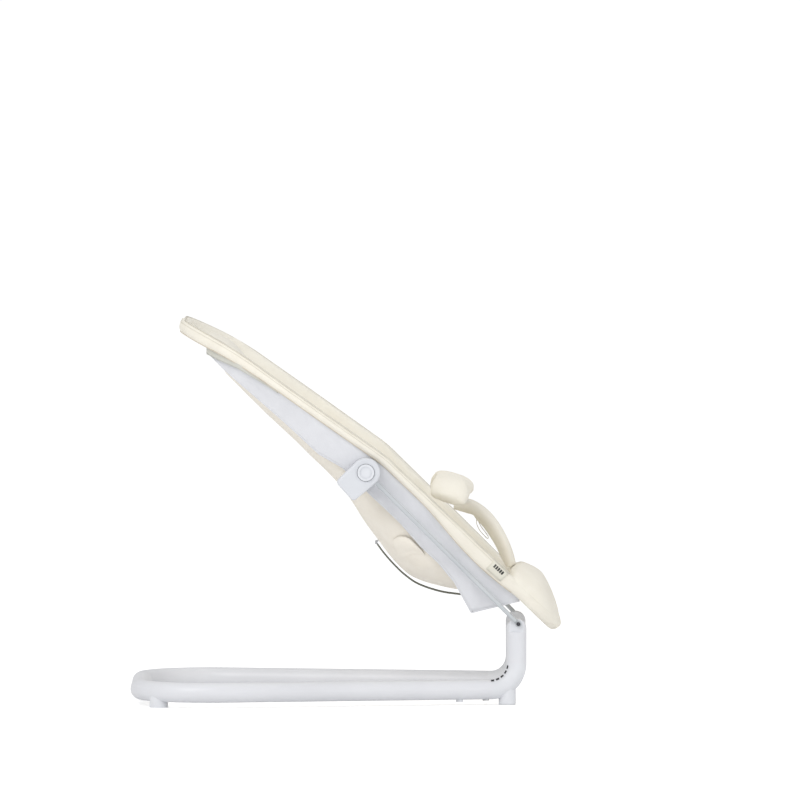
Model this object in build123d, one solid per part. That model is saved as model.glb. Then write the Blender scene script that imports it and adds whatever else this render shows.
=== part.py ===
from build123d import *
import os
from math import cos, radians, sin, tan

# Baby bouncer seat, in millimetres.
# +X runs from the head end to the foot end, -Y is the occupant's right side, +Z is up.
# The origin is the bottom centre of the whole object's box, so the feet stand on Z = 0.
SIDES = {"left": 1, "right": -1}

# Base: one bent tube, closed at the foot end by two moulded elbows and posts
TUBE_R = 14
TUBE_WALL = 1.5
TUBE_Z = 22
HEAD_BAR_X = -286
CORNER_R = 95
POST_X = 239
POST_Y = 95
SIDE_TAPER = 0.2164
TUBE_END_X = 202
ELBOW_R = 36
POST_LOW_Z = 58
POST_HIGH_Z = 102
CAP_TOP_Z = 120.5
SPIGOT = 14
SPIGOT_GAP = 0.2
FOOT_PAD = 2

# Pivots: the spring rods swing at the posts, the seat reclines at the hubs
PIVOT_X = 241.5
PIVOT_Z = 113.5
PIVOT_Y = 107.2
HUB_X = 29
HUB_Z = 330
ROD_HUB_Y = 211
ROD_R = 3
EYE_R = 4.6
PIVOT_SCREW_R = 1.8
PIVOT_HEAD_R = 2.8
RUNNING = 0.05

# Hub stack, as distances from the centre plane
SEAT_HUB = (168, 184)
BACK_PLATE = (192, 195)
HOUSING = (195, 217)
WEB = (203, 206)
BUTTON_FACE = 220
HUB_R = 20
TAIL_REACH = 40
TAIL_WIDTH = 37
TAIL_ANGLE = 222
BORE_R = 12.3

# Seat rim: three flat stretches, steeper towards the feet
KNEE = (54, 346)
SHOULDER_X = -150
LEG_SLOPE = 0.971
BACK_SLOPE = 0.707
HEAD_SLOPE = 0.5
RIM_TUBE_R = 5
RIM_TUBE_WALL = 1.2
BAND_R = 6.5
BACK_HOOP_END = 12
LEG_HOOP_END = 40
# Corners of the rim from the foot bar to the head bar: x, half width, bend radius
RIM_CORNERS = [
    (293.5, 98, 60),
    (150, 156, 400),
    (54, 188, 100),
    (-50, 203, 250),
    (-150, 186, 120),
    (-223, 105, 120),
]

# Soft goods
PANEL_THICK = 2
SLING_THICK = 3
LINER_THICK = 10
LAYER_GAP = 1
INSET = 28
# Side panels: x, height of the lower edge, how far that edge leans in
PANEL_EDGE = [
    (-190, 493, 4),
    (-170, 473, 8),
    (-123, 433, 13),
    (-85, 400, 13),
    (-36, 355, 11),
    (-3, 336, 7),
    (36, 298, 0),
    (52, 283, 1),
    (77, 258, 14),
    (105, 225, 20),
    (130, 201, 24),
    (152, 174, 26),
    (176, 130, 28),
    (210, 138, 22),
    (243, 146, 6),
]
# Stations of the bucket's sections, from the head to the feet; the liner stops short at both ends
STATIONS = [-200, -185, -150, -125, -60, 0, 23, 50, 77, 103, 155, 205, 250, 278]
# Underside of the sling on the centre plane: x, z
SLING_LINE = [
    (-200, 500),
    (-125, 419),
    (-60, 358),
    (0, 297),
    (23, 258),
    (77, 185),
    (103, 171),
    (155, 157),
    (205, 158),
    (250, 142),
    (278, 118),
]
# The waist belt's arch: half width, z; and its reach along the seat
WAIST_ARCH = [(38, 318), (62, 314), (84, 296), (92, 272)]
WAIST_BELT_X = (121, 179)
# The harness buckle: the middle of its body and how far it tilts back
BUCKLE_AT = (156, 0, 291)
BUCKLE_TILT = 40
BUCKLE_SLOT_Z = -1.6


def mirrored(side, point):
    """A point given on the left, moved to the named side."""
    return (point[0], SIDES[side] * point[1], point[2])


def rim_z(x):
    """Height of the rim's centreline at x."""
    if x > KNEE[0]:
        return KNEE[1] - LEG_SLOPE * (x - KNEE[0])
    if x > SHOULDER_X:
        return KNEE[1] + BACK_SLOPE * (KNEE[0] - x)
    return rim_z(SHOULDER_X + 1e-6) + HEAD_SLOPE * (SHOULDER_X - x)


def between(table, x, column):
    """Straight-line reading of a table's column at x; rows may run either way."""
    rows = sorted(table)
    for low, high in zip(rows, rows[1:]):
        if x <= high[0] or high is rows[-1]:
            share = (x - low[0]) / (high[0] - low[0])
            return low[column] + share * (high[column] - low[column])


def half_width(x):
    """Half width of the rim's centreline at x, before the corners are rounded."""
    return between(RIM_CORNERS, x, 1)


def rim_point(side, x):
    return mirrored(side, (x, half_width(x), rim_z(x)))


def swept(path, outer, inner=0):
    """A round bar, or a tube where inner is given, along a path."""
    section = Circle(outer) - Circle(inner) if inner else Circle(outer)
    return sweep(Plane(path @ 0, z_dir=path % 0) * section, path=path)


def rod_between(start, end, radius):
    """A round bar from one point to another."""
    start = Vector(start)
    run = Vector(end) - start
    return extrude(Plane(start, z_dir=run) * Circle(radius), run.length)


def disc(side, x, z, near, far, outer, inner=0):
    """A disc or ring about a crosswise axis, between two distances from the centre plane."""
    section = Circle(outer) - Circle(inner) if inner else Circle(outer)
    plane = Plane((x, SIDES[side] * near, z), z_dir=(0, SIDES[side], 0))
    return extrude(plane * section, far - near)


def side_slab(outline, near, far):
    """An outline in X and Z, made solid between two values of Y."""
    points = [(x, near, z) for x, z in outline]
    return extrude(make_face(Polyline(points, close=True)), far - near, dir=(0, 1, 0))


def upright(x, y, low, high, radius):
    """A vertical cylinder."""
    return Pos(x, y, low) * extrude(Circle(radius), high - low)


def layered(outer, inner):
    """A closed solid of flat faces between two grids of points with the same rows."""
    faces = []

    def quad(a, b, c, d):
        for corners in ((a, b, c), (a, c, d)):
            faces.append(Face(Wire.make_polygon([Vector(*p) for p in corners])))

    last_row = len(outer) - 1
    last = len(outer[0]) - 1
    for i in range(last_row):
        for j in range(last):
            quad(outer[i][j], outer[i][j + 1], outer[i + 1][j + 1], outer[i + 1][j])
            quad(inner[i][j], inner[i + 1][j], inner[i + 1][j + 1], inner[i][j + 1])
        quad(outer[i][0], outer[i + 1][0], inner[i + 1][0], inner[i][0])
        quad(outer[i][last], inner[i][last], inner[i + 1][last], outer[i + 1][last])
    for j in range(last):
        quad(outer[0][j], inner[0][j], inner[0][j + 1], outer[0][j + 1])
        end = (outer[last_row], inner[last_row])
        quad(end[0][j], end[0][j + 1], end[1][j + 1], end[1][j])
    solid = Solid(Shell(faces))
    return solid if solid.volume > 0 else layered(outer[::-1], inner[::-1])


# ---- base ----


def base_tube():
    run_y = POST_Y + SIDE_TAPER * (POST_X - TUBE_END_X)
    corner_y = POST_Y + SIDE_TAPER * (POST_X - HEAD_BAR_X)
    points = [
        (TUBE_END_X, -run_y, TUBE_Z),
        (HEAD_BAR_X, -corner_y, TUBE_Z),
        (HEAD_BAR_X, corner_y, TUBE_Z),
        (TUBE_END_X, run_y, TUBE_Z),
    ]
    return swept(FilletPolyline(points, radius=CORNER_R), TUBE_R, TUBE_R - TUBE_WALL)


def elbow_path(side):
    """From the tube's end, round the bend and up to the foot of the post."""
    run_y = POST_Y + SIDE_TAPER * (POST_X - TUBE_END_X)
    points = [
        mirrored(side, (TUBE_END_X, run_y, TUBE_Z)),
        mirrored(side, (POST_X, POST_Y, TUBE_Z)),
        mirrored(side, (POST_X, POST_Y, POST_LOW_Z + 1)),
    ]
    return FilletPolyline(points, radius=ELBOW_R)


def elbow(side):
    path = elbow_path(side)
    bend = swept(path, TUBE_R)
    start = Vector(path @ 0)
    back = Vector(path % 0) * -SPIGOT
    spigot_r = TUBE_R - TUBE_WALL - SPIGOT_GAP
    bend += rod_between(start, start + back, spigot_r)
    top = Vector(path @ 1)
    bend += rod_between(top, top + Vector(0, 0, SPIGOT), spigot_r)
    foot_x = POST_X - 13
    foot_y = SIDES[side] * (POST_Y + SIDE_TAPER * 13)
    return bend + upright(foot_x, foot_y, FOOT_PAD, TUBE_Z, 12)


def elbow_marks(side):
    """Five plain raised dashes along the inside of the elbow's bend."""
    path = elbow_path(side)
    skin = swept(path, TUBE_R + 0.4) - swept(path, TUBE_R)
    centre_x = POST_X - ELBOW_R
    centre_z = TUBE_Z + ELBOW_R
    reach = ELBOW_R - TUBE_R + 1.5
    marks = []
    for turn in (-84, -66, -48, -30, -12):
        x = centre_x + reach * cos(radians(turn))
        z = centre_z + reach * sin(radians(turn))
        y = SIDES[side] * (POST_Y + SIDE_TAPER * (POST_X - x) + 8)
        box = Pos(x, y, z) * Rot(0, -turn - 90, 0) * Box(4.6, 10, 2.2)
        marks.append(skin & box)
    return Compound([s for mark in marks for s in mark.solids()])


def front_foot_pad(side):
    y = SIDES[side] * (POST_Y + SIDE_TAPER * 13)
    return upright(POST_X - 13, y, 0, FOOT_PAD, 11.5)


def rear_foot(side):
    """A short round foot with a saddle for the tube, at the bend of the head end."""
    turn = radians(136)
    centre_x = HEAD_BAR_X + CORNER_R
    corner_y = POST_Y + SIDE_TAPER * (POST_X - HEAD_BAR_X)
    arc_y = corner_y - CORNER_R * tan(radians(51.1))
    x = centre_x + CORNER_R * cos(turn)
    y = arc_y + CORNER_R * sin(turn)
    block = upright(x, SIDES[side] * y, 0, TUBE_Z - 3, 13)
    ring = Pos(centre_x, SIDES[side] * arc_y, TUBE_Z) * Torus(CORNER_R, TUBE_R + 0.05)
    return block - ring


def tube_screws():
    """Two flat screws under the tube that hold it on the elbows' spigots."""
    x = 196
    heads = []
    for side in SIDES:
        y = SIDES[side] * (POST_Y + SIDE_TAPER * (POST_X - x))
        low = TUBE_Z - TUBE_R
        head = upright(x, y, low - 1.6, low + 4, 4.5)
        tilt = Plane((x, y, TUBE_Z), z_dir=(1, -SIDES[side] * SIDE_TAPER, 0))
        heads.append(head - extrude(tilt * Circle(TUBE_R + 0.05), 20, both=True))
    return Compound([s for head in heads for s in head.solids()])


def tube_plugs():
    """Two small round plugs that fill the drain holes under the tube."""
    x = 159.5
    plugs = []
    for side in SIDES:
        y = SIDES[side] * (POST_Y + SIDE_TAPER * (POST_X - x))
        low = TUBE_Z - TUBE_R
        plug = upright(x, y, low - 3, low + 4, 5)
        tilt = Plane((x, y, TUBE_Z), z_dir=(1, -SIDES[side] * SIDE_TAPER, 0))
        plugs.append(plug - extrude(tilt * Circle(TUBE_R + 0.05), 20, both=True))
    return Compound([s for plug in plugs for s in plug.solids()])


def post(side):
    y = SIDES[side] * POST_Y
    outer = upright(POST_X, y, POST_LOW_Z + 1, POST_HIGH_Z, TUBE_R)
    return outer - upright(POST_X, y, POST_LOW_Z, POST_HIGH_Z + 1, TUBE_R - TUBE_WALL)


def post_cap(side):
    """The round-topped head of a post, with a flat on its outer face for the rod's eye."""
    y = SIDES[side] * POST_Y
    round_z = CAP_TOP_Z - TUBE_R
    body = upright(POST_X, y, POST_HIGH_Z, CAP_TOP_Z, TUBE_R)
    dome = disc(side, POST_X, round_z, POST_Y - 20, POST_Y + 20, TUBE_R)
    below = Pos(POST_X, y, POST_HIGH_Z) * Box(40, 40, 2 * (round_z - POST_HIGH_Z))
    body = body & (dome + below)
    flat_y = PIVOT_Y - 2.2
    flat = Pos(POST_X, SIDES[side] * (flat_y + 10), PIVOT_Z + 6) * Box(40, 20, 36)
    body = body - flat
    body += upright(POST_X, y, POST_HIGH_Z - SPIGOT, POST_HIGH_Z, TUBE_R - TUBE_WALL - SPIGOT_GAP)
    return body - disc(side, PIVOT_X, PIVOT_Z, POST_Y - 4, POST_Y + 20, PIVOT_SCREW_R + RUNNING)


def pivot_screw(side):
    """The shouldered screw that a rod swings on."""
    shank = disc(side, PIVOT_X, PIVOT_Z, POST_Y - 3, PIVOT_Y + 2.3, PIVOT_SCREW_R)
    head = disc(side, PIVOT_X, PIVOT_Z, PIVOT_Y + 2.3, PIVOT_Y + 3.9, PIVOT_HEAD_R)
    socket = disc(side, PIVOT_X, PIVOT_Z, PIVOT_Y + 3.2, PIVOT_Y + 5, 1.3)
    return shank + head - socket


# ---- spring rods and hubs ----


def rod_line(side):
    start = Vector(mirrored(side, (HUB_X, ROD_HUB_Y, HUB_Z)))
    end = Vector(mirrored(side, (PIVOT_X, PIVOT_Y, PIVOT_Z)))
    return start, (end - start).normalized(), (end - start).length


def spring_rod(side):
    """One steel rod from a hub to its post, flattened into an eye at the post."""
    start, along, length = rod_line(side)
    rod = rod_between(start + along * 15, start + along * (length - 3.4), ROD_R)
    rod += disc(side, PIVOT_X, PIVOT_Z, PIVOT_Y - 2, PIVOT_Y + 2, EYE_R)
    for near, far in ((PIVOT_Y - 12, PIVOT_Y - 2), (PIVOT_Y + 2, PIVOT_Y + 12)):
        rod -= disc(side, PIVOT_X, PIVOT_Z, near, far, EYE_R + 1)
    return rod - disc(side, PIVOT_X, PIVOT_Z, PIVOT_Y - 9, PIVOT_Y + 9, PIVOT_SCREW_R + RUNNING)


def hub_shape(side, near, far):
    """The hub's outline: a round end that runs into a square tail, as a solid."""
    plane = Plane(
        (HUB_X, SIDES[side] * near, HUB_Z),
        x_dir=(cos(radians(TAIL_ANGLE)), 0, sin(radians(TAIL_ANGLE))),
        z_dir=(0, SIDES[side], 0),
    )
    tail = Pos(TAIL_REACH - 8, 0) * RectangleRounded(16, TAIL_WIDTH, 5)
    outline = make_hull((Circle(HUB_R) + tail).edges())
    return extrude(plane * outline, far - near)


def tail_screw_place(side, share):
    """Where a cover screw sits in the tail, left or right of its middle line."""
    turn = radians(TAIL_ANGLE)
    reach = TAIL_REACH - 8
    x = HUB_X + reach * cos(turn) - share * sin(turn)
    z = HUB_Z + reach * sin(turn) + share * cos(turn)
    return x, z


def rod_socket(side):
    start, along, length = rod_line(side)
    return rod_between(start + along * 14.5, start + along * (length - 60), ROD_R + RUNNING)


def hub_housing(side):
    """The outer shell of a hub, with a stepped bore, a web and the rod's socket."""
    body = hub_shape(side, *HOUSING)
    edge = body.faces().filter_by(Axis.Y).sort_by(lambda f: abs(f.center().Y))[-1]
    body = fillet(edge.edges(), 3)
    body -= disc(side, HUB_X, HUB_Z, HOUSING[0] - 1, WEB[0], BORE_R)
    body -= disc(side, HUB_X, HUB_Z, WEB[1], HOUSING[1] + 1, BORE_R)
    body -= disc(side, HUB_X, HUB_Z, WEB[0] - 1, WEB[1] + 1, 4 + RUNNING)
    body -= button_legs(side, WEB[0] - 1, WEB[1] + 1, 0.3)
    for share in (-10, 10):
        x, z = tail_screw_place(side, share)
        body -= disc(side, x, z, HOUSING[0] - 1, HOUSING[0] + 12, 1.5)
    return body - rod_socket(side)


def hub_back_plate(side):
    """The inner cover of a hub."""
    plate = hub_shape(side, *BACK_PLATE)
    plate -= disc(side, HUB_X, HUB_Z, BACK_PLATE[0] - 1, BACK_PLATE[1] + 1, BORE_R)
    for share in (-10, 10):
        x, z = tail_screw_place(side, share)
        plate -= disc(side, x, z, BACK_PLATE[0] - 1, BACK_PLATE[1] + 1, 1.5)
    return plate - rod_socket(side)


def hub_screws(side):
    """Two screws that hold the back plate on the housing."""
    screws = []
    for share in (-10, 10):
        x, z = tail_screw_place(side, share)
        shank = disc(side, x, z, BACK_PLATE[0], HOUSING[0] + 10, 1.45)
        screws.append(shank + disc(side, x, z, BACK_PLATE[0] - 0.8, BACK_PLATE[0], 3))
    return Compound([s for screw in screws for s in screw.solids()])


def hub_bolt(side):
    """The axle that a seat hub turns on, with its head on the housing's web."""
    shank = disc(side, HUB_X, HUB_Z, SEAT_HUB[0] - 1, WEB[1], 4)
    return shank + disc(side, HUB_X, HUB_Z, WEB[1], WEB[1] + 2.2, 6.5)


def hub_nut(side):
    hexagon = RegularPolygon(6.5, 6) - Circle(4 + RUNNING)
    plane = Plane((HUB_X, SIDES[side] * (SEAT_HUB[0] - 4.3), HUB_Z), z_dir=(0, SIDES[side], 0))
    return extrude(plane * hexagon, 4)


def button_legs(side, near, far, grow=0):
    """Three curved legs about the hub's axis."""
    ring = disc(side, HUB_X, HUB_Z, near, far, 11.5 + grow, 8.5 - grow)
    legs = None
    for turn in (90, 210, 330):
        x = HUB_X + 10 * cos(radians(turn))
        z = HUB_Z + 10 * sin(radians(turn))
        y = SIDES[side] * (near + far) / 2
        slot = Pos(x, y, z) * Rot(0, -turn, 0) * Box(8, far - near + 2, 7 + 2 * grow)
        leg = ring & slot
        legs = leg if legs is None else legs + leg
    return legs


def recline_button(side):
    """The round push button, with a plain ring groove in its face."""
    face = disc(side, HUB_X, HUB_Z, HOUSING[1] - 4.5, BUTTON_FACE, 11.8)
    edge = face.faces().filter_by(Axis.Y).sort_by(lambda f: abs(f.center().Y))[-1]
    face = fillet(edge.edges(), 1)
    face -= disc(side, HUB_X, HUB_Z, BUTTON_FACE - 0.8, BUTTON_FACE + 1, 8.2, 6.8)
    return face + button_legs(side, WEB[0] - 2, HOUSING[1] - 4.5)


def lock_ring(side):
    """The ring that the button pushes out of the housing and into the seat hub."""
    return disc(side, HUB_X, HUB_Z, SEAT_HUB[1] - 1, WEB[0] - 2, 12, 8)


def lock_spring(side):
    """Three wire rings, as a wave spring behind the lock ring."""
    rings = []
    for step in range(3):
        y = SIDES[side] * (SEAT_HUB[1] - 10.5 + 2 * step)
        rings.append(Pos(HUB_X, y, HUB_Z) * Rot(90, 0, 0) * Torus(9.5, 0.7))
    return Compound([s for ring in rings for s in ring.solids()])


# ---- seat frame ----


def rim_path(x_start, corners):
    """The rim's path from x_start on the right, through the corners, to the left."""
    near = [rim_point("right", x_start)]
    near += [mirrored("right", (x, y, rim_z(x))) for x, y, r in corners]
    far = [(x, -y, z) for x, y, z in reversed(near)]
    radii = [r for x, y, r in corners]
    return FilletPolyline(near + far, radius=radii + radii[::-1])


def back_path():
    return rim_path(BACK_HOOP_END, RIM_CORNERS[3:])


def leg_path():
    return rim_path(LEG_HOOP_END, RIM_CORNERS[2::-1])


def seat_hub(side):
    """The seat frame's casting: it turns on the hub bolt and carries both hoops' ends."""
    plate = disc(side, HUB_X, HUB_Z, *SEAT_HUB, 18.5)
    y_mid = SIDES[side] * (SEAT_HUB[0] + SEAT_HUB[1]) / 2
    top_z = rim_z(HUB_X)
    arm = Pos(HUB_X, y_mid, (HUB_Z + top_z) / 2) * Box(12, SEAT_HUB[1] - SEAT_HUB[0], top_z - HUB_Z)
    plate += arm + disc(side, HUB_X, top_z, SEAT_HUB[0], half_width(HUB_X), RIM_TUBE_R)
    low = Vector(rim_point(side, BACK_HOOP_END))
    high = Vector(rim_point(side, LEG_HOOP_END))
    along = (high - low).normalized()
    plate += rod_between(low + along * 0.1, high - along * 0.1, RIM_TUBE_R + 1)
    spigot_r = RIM_TUBE_R - RIM_TUBE_WALL - SPIGOT_GAP
    plate += rod_between(low - along * SPIGOT, high + along * 3, spigot_r)
    plate -= disc(side, HUB_X, HUB_Z, SEAT_HUB[1] - 12, SEAT_HUB[1] + 1, BORE_R)
    return plate - disc(side, HUB_X, HUB_Z, SEAT_HUB[0] - 1, SEAT_HUB[1], 4 + RUNNING)


def hoop(path):
    return swept(path, RIM_TUBE_R, RIM_TUBE_R - RIM_TUBE_WALL)


def rim_band(path):
    """The padded fabric sleeve around a hoop."""
    return swept(path, BAND_R, RIM_TUBE_R + SPIGOT_GAP)


# ---- soft goods ----


def side_panel(side):
    """The flat fabric wall that hangs from the rim, with a hole for the hub."""
    outer = []
    inner = []
    for x, low_z, lean in PANEL_EDGE:
        top = (x, half_width(x) - 2, rim_z(x) - BAND_R - 3)
        low = (x, half_width(x) - 2.5 - lean, low_z)
        outer.append([mirrored(side, top), mirrored(side, low)])
        thin = [(x, y - PANEL_THICK, z) for x, y, z in (top, low)]
        inner.append([mirrored(side, point) for point in thin])
    panel = layered(outer, inner)
    return panel - disc(side, HUB_X, HUB_Z, 150, 230, BORE_R + 1)


def bucket_section(x, inward):
    """One crosswise section of the bucket, moved inward from its underside."""
    floor = between(SLING_LINE, x, 1)
    depth = rim_z(x) - floor
    width = half_width(x)
    side = [
        (width - INSET, rim_z(x) - min(10, 0.3 * depth)),
        (width - INSET - 0.06 * depth, floor + 0.5 * depth),
        (0.6 * width, floor + 0.1 * depth),
    ]
    left = [(x, y - inward, z + inward) for y, z in side]
    right = [(x, -y, z) for x, y, z in reversed(left)]
    return left + [(x, 0, floor + inward)] + right


def bucket_layer(stations, start, thick):
    outer = [bucket_section(x, start) for x in stations]
    inner = [bucket_section(x, start + thick) for x in stations]
    return layered(outer, inner)


def seat_sling():
    """The load-carrying fabric trough that hangs inside the rim."""
    return bucket_layer(STATIONS, 0, SLING_THICK)


def seat_liner():
    """The quilted pad that lies in the trough."""
    return bucket_layer(STATIONS[1:-2], SLING_THICK + LAYER_GAP, LINER_THICK)


def head_pad():
    """The crowned pad across the head end, inside the rim."""
    rows = []
    for x, half, low, high in (
        (-211, 62, -5, 8),
        (-198, 88, -3, 14),
        (-176, 92, -3, 15),
        (-150, 101, -6, 11),
        (-128, 96, -13, 0),
    ):
        spread = (-1, -0.5, 0, 0.5, 1)
        crown = (0.2, 0.85, 1, 0.85, 0.2)
        under = [(x, half * s, rim_z(x) + low) for s in spread]
        over = [(x, half * s, rim_z(x) + low + (high - low) * c) for s, c in zip(spread, crown)]
        rows.append((under, over))
    return layered([under for under, over in rows], [over for under, over in rows])


def foot_pad():
    """The crowned bolster over the foot bar."""
    start, end = 233, 297
    outline = [
        (start, rim_z(start) + 10.5),
        (start + 1, 194),
        (244, 189),
        (268, 185),
        (288, 150),
        (299, 126),
        (end, rim_z(end) + 10.5),
    ]
    return side_slab(outline, -72, 72)


def rim_tag():
    """A small plain fabric tag sewn on the rim band."""
    low = Vector(rim_point("right", 207))
    high = Vector(rim_point("right", 221))
    along = (high - low).normalized()
    outward = along.cross(Vector(0, 0, 1)).normalized() * -1
    place = Plane((low + high) / 2 + outward * (BAND_R + 0.3), x_dir=along, z_dir=outward)
    return extrude(place * RectangleRounded(15, 6, 0.8), 0.8)


def thickened(points, thick):
    """The closed outline of a strip of even thickness along an open line of points."""
    left = []
    right = []
    for i, point in enumerate(points):
        here = Vector(*point)
        before = Vector(*points[max(i - 1, 0)])
        after = Vector(*points[min(i + 1, len(points) - 1)])
        along = (after - before).normalized()
        across = Vector(-along.Y, along.X) * (thick / 2)
        left.append(tuple(here + across)[:2])
        right.append(tuple(here - across)[:2])
    return left + right[::-1]


def ribbon(points, thick, near, far):
    """A strap of even thickness along points in X and Z, between two values of Y."""
    return side_slab(thickened(points, thick), near, far)


def under_strap():
    """The dark webbing strap that hangs under the trough."""
    line = [(46.5, 217), (69, 187), (103, 161), (133, 151), (160, 148)]
    return ribbon(line, 2, -11, 11)


def strap_hook():
    """The flat wire hook on the under strap's upper end."""
    outline = [(41.5, 220.5), (41.5, 224), (46, 225.5), (46.2, 224), (44, 222.5), (45.2, 219.6)]
    return side_slab(outline, -12, 12)


def crotch_pad():
    """The padded strap that arches from the foot pad to the buckle."""
    line = [(226, 203), (212, 228), (199, 249), (184, 262), (166, 265)]
    return ribbon(line, 10, -22, 22)


def crotch_strap():
    """The webbing that runs from the pad into the buckle."""
    line = [(181, 272), (172, 281)]
    return ribbon(line, 2, -12, 12)


def adjuster_loop():
    """The thin pull loop below the crotch pad."""
    return ribbon([(184, 247), (187, 240), (196, 228)], 1.5, -6, 6)


def buckle_place(x, y, z):
    """A place given from the buckle's middle, along its own tilted axes."""
    return Pos(*BUCKLE_AT) * Rot(0, BUCKLE_TILT, 0) * Pos(x, y, z)


def buckle_body():
    """The buckle's housing, with a well for its button and a slot for each tongue."""
    block = buckle_place(0, 0, 0) * Box(34, 40, 14)
    block = fillet(block.edges().filter_by(Axis.Y), 4)
    block -= buckle_place(0, 0, 5) * Box(16.6, 16.6, 10)
    slots = buckle_place(0, 0, BUCKLE_SLOT_Z) * Box(18, 60, 4.4)
    return block - (slots - Pos(*BUCKLE_AT) * Box(60, 24, 60))


def buckle_button():
    tilt = radians(BUCKLE_TILT)
    cap = buckle_place(0, 0, 6) * Box(16, 16, 5.5)
    top = cap.edges().group_by(Axis(BUCKLE_AT, (sin(tilt), 0, cos(tilt))))[-1]
    return fillet(top, 0.8)


def buckle_tongue(side):
    return buckle_place(0, SIDES[side] * 24, BUCKLE_SLOT_Z) * Box(17, 23, 3.6)


def waist_pad(side):
    """Half of the padded waist belt."""
    outline = thickened([(SIDES[side] * y, z) for y, z in WAIST_ARCH], 10)
    start, end = WAIST_BELT_X
    face = make_face(Polyline([(start, y, z) for y, z in outline], close=True))
    return extrude(face, end - start, dir=(1, 0, 0))


def waist_strap(side):
    """The webbing between a buckle tongue and its waist pad."""
    corners = [(37.5, 290), (37.5, 311), (36, 311), (36, 290)]
    points = [mirrored(side, (144, y, z)) for y, z in corners]
    return extrude(make_face(Polyline(points, close=True)), 20, dir=(1, 0, 0))


def nodes():
    """Every named piece of the object."""
    made = {
        "base_tube": base_tube(),
        "tube_screws": tube_screws(),
        "tube_plugs": tube_plugs(),
        "back_hoop": hoop(back_path()),
        "leg_hoop": hoop(leg_path()),
        "back_rim_band": rim_band(back_path()),
        "leg_rim_band": rim_band(leg_path()),
        "seat_sling": seat_sling(),
        "seat_liner": seat_liner(),
        "head_pad": head_pad(),
        "foot_pad": foot_pad(),
        "rim_tag": rim_tag(),
        "under_strap": under_strap(),
        "strap_hook": strap_hook(),
        "crotch_pad": crotch_pad(),
        "crotch_strap": crotch_strap(),
        "adjuster_loop": adjuster_loop(),
        "buckle_body": buckle_body(),
        "buckle_button": buckle_button(),
    }
    handed = {
        "elbow": elbow,
        "elbow_marks": elbow_marks,
        "rear_foot": rear_foot,
        "post": post,
        "post_cap": post_cap,
        "spring_rod": spring_rod,
        "hub_housing": hub_housing,
        "hub_back_plate": hub_back_plate,
        "recline_button": recline_button,
        "lock_ring": lock_ring,
        "lock_spring": lock_spring,
        "seat_hub": seat_hub,
        "side_panel": side_panel,
        "buckle_tongue": buckle_tongue,
        "waist_pad": waist_pad,
        "waist_strap": waist_strap,
    }
    pairs = {
        "front_foot_pads": front_foot_pad,
        "pivot_screws": pivot_screw,
        "hub_screws": hub_screws,
        "hub_bolts": hub_bolt,
        "hub_nuts": hub_nut,
    }
    for name, make in handed.items():
        for side in SIDES:
            made[f"{name}_{side}"] = make(side)
    for name, make in pairs.items():
        made[name] = Compound([s for side in SIDES for s in make(side).solids()])
    return made


os.makedirs("parts", exist_ok=True)
for name, shape in nodes().items():
    export_step(shape, f"parts/{name}.step")
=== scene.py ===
import math

import bmesh
import bpy
from mathutils import Matrix, Vector, noise


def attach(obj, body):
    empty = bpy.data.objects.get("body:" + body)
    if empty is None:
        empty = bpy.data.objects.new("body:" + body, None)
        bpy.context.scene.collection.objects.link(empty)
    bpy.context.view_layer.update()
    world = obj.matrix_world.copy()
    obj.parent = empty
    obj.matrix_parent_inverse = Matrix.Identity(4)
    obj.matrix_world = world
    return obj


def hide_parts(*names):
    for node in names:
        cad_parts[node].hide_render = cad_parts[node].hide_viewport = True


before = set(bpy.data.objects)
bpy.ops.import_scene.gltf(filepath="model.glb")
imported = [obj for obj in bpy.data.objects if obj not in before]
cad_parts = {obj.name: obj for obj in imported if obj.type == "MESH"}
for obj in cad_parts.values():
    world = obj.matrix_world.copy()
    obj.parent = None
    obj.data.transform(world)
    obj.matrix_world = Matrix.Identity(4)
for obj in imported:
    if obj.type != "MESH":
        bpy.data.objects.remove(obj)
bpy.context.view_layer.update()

# Lengths below are in millimetres, in the row frame, and MM turns them into metres.
MM = 0.001
SIDES = {"left": 1, "right": -1}
# Corners of the right half of the rim, seen from above: x, distance from the centre plane, radius
RIM_CORNERS = [
    (293.5, 98, 60),
    (150, 156, 400),
    (54, 188, 100),
    (-50, 203, 250),
    (-150, 186, 120),
    (-223, 105, 120),
]
# The rim bends at the knee (x, z) and again at the shoulder, with one slope on each stretch
KNEE = (54, 346)
SHOULDER_X = -150
LEG_SLOPE = 0.971
BACK_SLOPE = 0.707
HEAD_SLOPE = 0.5
# A place well inside the rim, from which outward is told
RIM_MIDDLE_X = 30
# The recline axis: x, z
HUB = (29, 330)
# The sling on the centre plane, where it hangs lowest: x, z
SLING_LINE = [
    (-215, 510),
    (-125, 419),
    (-60, 358),
    (0, 297),
    (23, 258),
    (77, 185),
    (103, 171),
    (155, 157),
    (205, 158),
    (250, 142),
    (290, 116),
]
# The padded rim's half thickness, above and below the hoops' centreline, at x
RIM_THICK = [
    (-223, 8.5, 9.5),
    (-190, 8.3, 9.8),
    (-150, 7.0, 8.4),
    (-110, 6.4, 6.8),
    (-60, 6.3, 6.4),
    (54, 6.3, 6.3),
    (99, 6.4, 6.3),
    (121, 6.6, 7.0),
    (135, 6.7, 9.5),
    (150, 6.8, 11.8),
    (170, 6.8, 15.2),
    (201, 6.6, 16.4),
    (225, 6.5, 14.0),
    (246, 6.5, 10.5),
    (293, 7.5, 12.0),
]
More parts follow.
